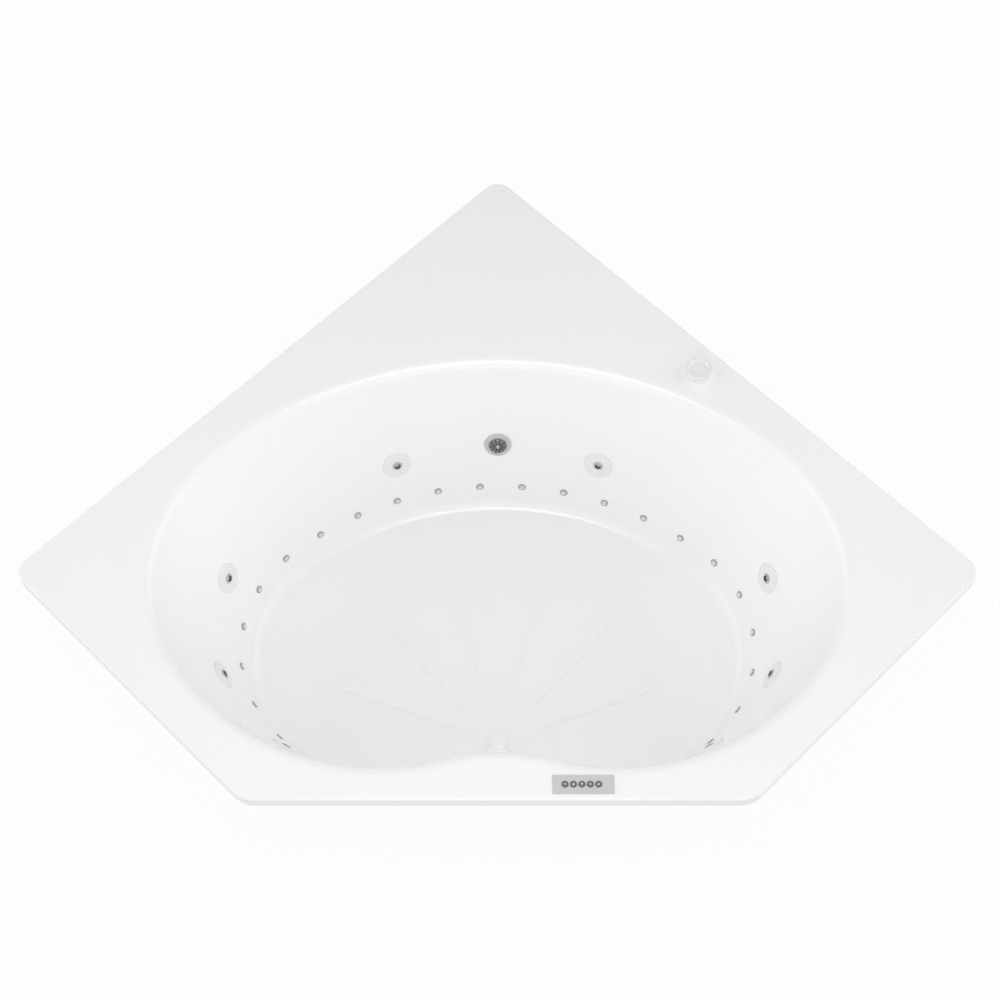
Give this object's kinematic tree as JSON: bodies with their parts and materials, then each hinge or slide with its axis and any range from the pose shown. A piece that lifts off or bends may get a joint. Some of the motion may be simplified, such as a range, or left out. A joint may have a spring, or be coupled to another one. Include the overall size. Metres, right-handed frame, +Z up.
{
  "type": "jetted bathtub",
  "caption": "Five-sided corner bathtub with a rounded basin, swivelling water jets, air injectors, deck air control and push-button panel, pump, blower, waste and timber base.",
  "frame": {"origin": "on the floor, under the middle of the deck's outline", "axes": "+Z up, +Y towards the corner of the room, -Y towards the front edge with the panel"},
  "size_m": [2.1236, 1.6007, 0.5273],
  "materials": {
    "acrylic": "polished white acrylic",
    "white_trim": "polished white",
    "grey_nozzle": "satin grey",
    "light_grey": "satin light grey",
    "dark_grey": "satin dark grey",
    "panel_grey": "matt silver grey",
    "button_grey": "matt",
    "black_rubber": "matt",
    "white_pipe": "plain white pipe",
    "air_pipe": "cloudy pipe",
    "black_plastic": "moulded",
    "grey_plastic": "moulded",
    "painted_motor": "painted",
    "steel": "bright",
    "laminations": "dull",
    "circuit_board": "lacquered",
    "plywood": "raw",
    "timber": "sawn"
  },
  "bodies": {
    "tub": {"tub_shell": "acrylic", "jet_escutcheons": "white_trim", "air_injectors": "white_trim", "overflow_cap": "white_trim", "air_control_collar": "white_trim", "drain_flange": "white_trim", "lock_nuts": "white_trim", "suction_body": "light_grey", "suction_cover": "dark_grey", "keypad_bezel": "panel_grey", "jet_gaskets": "black_rubber", "pump_foot": "black_rubber", "jet_bodies": "white_pipe", "water_manifold": "white_pipe", "air_ring": "white_pipe", "suction_pipe": "white_pipe", "outlet_pipe": "white_pipe", "overflow_elbow": "white_pipe", "overflow_pipe": "white_pipe", "waste_shoe": "white_pipe", "jet_air_line": "air_pipe", "air_control_pipe": "air_pipe", "blower_pipe": "air_pipe", "pump_volute": "black_plastic", "pump_seal_plate": "black_plastic", "motor_fan_cover": "black_plastic", "blower_body": "black_plastic", "blower_lid": "black_plastic", "cable_glands": "black_plastic", "keypad_housing": "black_plastic", "control_box": "grey_plastic", "control_box_lid": "grey_plastic", "motor_body": "painted_motor", "blower_motor": "painted_motor", "pump_bolts": "steel", "motor_bearings": "steel", "cover_screws": "steel", "motor_stator": "laminations", "keypad_board": "circuit_board", "base_board": "plywood", "support_runners": "timber"},
    "jet_nozzle_1": {"jet_nozzle_1": "grey_nozzle"},
    "jet_nozzle_2": {"jet_nozzle_2": "grey_nozzle"},
    "jet_nozzle_3": {"jet_nozzle_3": "grey_nozzle"},
    "jet_nozzle_4": {"jet_nozzle_4": "grey_nozzle"},
    "jet_nozzle_5": {"jet_nozzle_5": "grey_nozzle"},
    "jet_nozzle_6": {"jet_nozzle_6": "grey_nozzle"},
    "jet_nozzle_7": {"jet_nozzle_7": "grey_nozzle"},
    "jet_nozzle_8": {"jet_nozzle_8": "grey_nozzle"},
    "button_1": {"button_1": "button_grey"},
    "button_2": {"button_2": "button_grey"},
    "button_3": {"button_3": "button_grey"},
    "button_4": {"button_4": "button_grey"},
    "button_5": {"button_5": "button_grey"},
    "air_control_knob": {"air_control_knob": "white_trim"},
    "drain_stopper": {"drain_stopper": "white_trim"},
    "pump_rotor": {"motor_rotor": "laminations", "pump_impeller": "black_plastic", "motor_fan": "black_plastic"},
    "blower_rotor": {"blower_fan": "black_plastic"}
  },
  "joints": [
    {"name": "jet_nozzle_1_tilt", "type": "hinge", "parent": "tub", "child": "jet_nozzle_1", "pos_m": [0.24312, 0.14896, 0.26168], "axis": [0.9548, -0.2974, 0], "range_deg": [-15, 15]},
    {"name": "jet_nozzle_2_tilt", "type": "hinge", "parent": "tub", "child": "jet_nozzle_2", "pos_m": [-0.24312, 0.14896, 0.26168], "axis": [0.9548, 0.2974, 0], "range_deg": [-15, 15]},
    {"name": "jet_nozzle_3_tilt", "type": "hinge", "parent": "tub", "child": "jet_nozzle_3", "pos_m": [0.63441, -0.15741, 0.26145], "axis": [0.342, -0.9397, 0], "range_deg": [-15, 15]},
    {"name": "jet_nozzle_4_tilt", "type": "hinge", "parent": "tub", "child": "jet_nozzle_4", "pos_m": [-0.63441, -0.15741, 0.26145], "axis": [0.342, 0.9397, 0], "range_deg": [-15, 15]},
    {"name": "jet_nozzle_5_tilt", "type": "hinge", "parent": "tub", "child": "jet_nozzle_5", "pos_m": [0.63013, -0.40531, 0.26156], "axis": [-0.3746, -0.9272, 0], "range_deg": [-15, 15]},
    {"name": "jet_nozzle_6_tilt", "type": "hinge", "parent": "tub", "child": "jet_nozzle_6", "pos_m": [-0.63013, -0.40531, 0.26156], "axis": [-0.3746, 0.9272, 0], "range_deg": [-15, 15]},
    {"name": "jet_nozzle_7_tilt", "type": "hinge", "parent": "tub", "child": "jet_nozzle_7", "pos_m": [0.47835, -0.58494, 0.26183], "axis": [-0.8387, -0.5446, 0], "range_deg": [-15, 15]},
    {"name": "jet_nozzle_8_tilt", "type": "hinge", "parent": "tub", "child": "jet_nozzle_8", "pos_m": [-0.47835, -0.58494, 0.26183], "axis": [-0.8387, 0.5446, 0], "range_deg": [-15, 15]},
    {"name": "button_1_press", "type": "slide", "parent": "tub", "child": "button_1", "axis": [0, 0, -1], "range_m": [0, 0.001], "stiffness_N_per_m": 600, "springref_m": -0.0005},
    {"name": "button_2_press", "type": "slide", "parent": "tub", "child": "button_2", "axis": [0, 0, -1], "range_m": [0, 0.001], "stiffness_N_per_m": 600, "springref_m": -0.0005},
    {"name": "button_3_press", "type": "slide", "parent": "tub", "child": "button_3", "axis": [0, 0, -1], "range_m": [0, 0.001], "stiffness_N_per_m": 600, "springref_m": -0.0005},
    {"name": "button_4_press", "type": "slide", "parent": "tub", "child": "button_4", "axis": [0, 0, -1], "range_m": [0, 0.001], "stiffness_N_per_m": 600, "springref_m": -0.0005},
    {"name": "button_5_press", "type": "slide", "parent": "tub", "child": "button_5", "axis": [0, 0, -1], "range_m": [0, 0.001], "stiffness_N_per_m": 600, "springref_m": -0.0005},
    {"name": "air_control_turn", "type": "hinge", "parent": "tub", "child": "air_control_knob", "pos_m": [0.46703, 0.2551, 0.508], "axis": [0, 0, 1], "range_deg": [-170, 0]},
    {"name": "stopper_lift", "type": "slide", "parent": "tub", "child": "drain_stopper", "axis": [0, 0, 1], "range_m": [0, 0.01]},
    {"name": "pump_spin", "type": "hinge", "parent": "tub", "child": "pump_rotor", "pos_m": [0, 0.33116, 0.24301], "axis": [0, 1, 0], "continuous": true},
    {"name": "blower_spin", "type": "hinge", "parent": "tub", "child": "blower_rotor", "pos_m": [-0.235, 0.39109, 0.15], "axis": [0, 0, 1], "continuous": true}
  ]
}
